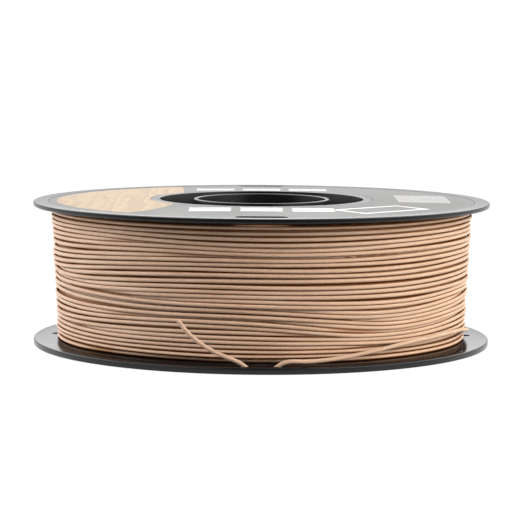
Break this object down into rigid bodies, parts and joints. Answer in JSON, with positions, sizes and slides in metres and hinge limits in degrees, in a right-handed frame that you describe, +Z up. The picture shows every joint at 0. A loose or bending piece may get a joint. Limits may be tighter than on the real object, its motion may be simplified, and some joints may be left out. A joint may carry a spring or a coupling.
{
  "type": "filament spool",
  "caption": "Round flanged spool with a wide bore, wound full of plastic filament, with a ring label on one flange and the strand's end threaded through the other.",
  "frame": {"origin": "on the spool's axis, on the surface that it lies on", "axes": "+Z up along the spool's axis; -Y is the front, where the strand's end is threaded through the lower flange; +X is the side where the strand leaves the winding"},
  "size_m": [0.2, 0.2, 0.0641],
  "materials": {
    "spool_plastic": "gloss black moulded polystyrene",
    "label_film": "gloss printed film label with a wood-grain field",
    "filament": "satin wood-filled filament"
  },
  "bodies": {
    "root": {"lower_flange": "spool_plastic", "upper_flange": "spool_plastic", "winding_drum": "spool_plastic", "bore_hub": "spool_plastic", "upper_label": "label_film", "filament_inner_layers": "filament", "filament_outer_layer": "filament", "filament_tail": "filament"}
  },
  "joints": []
}
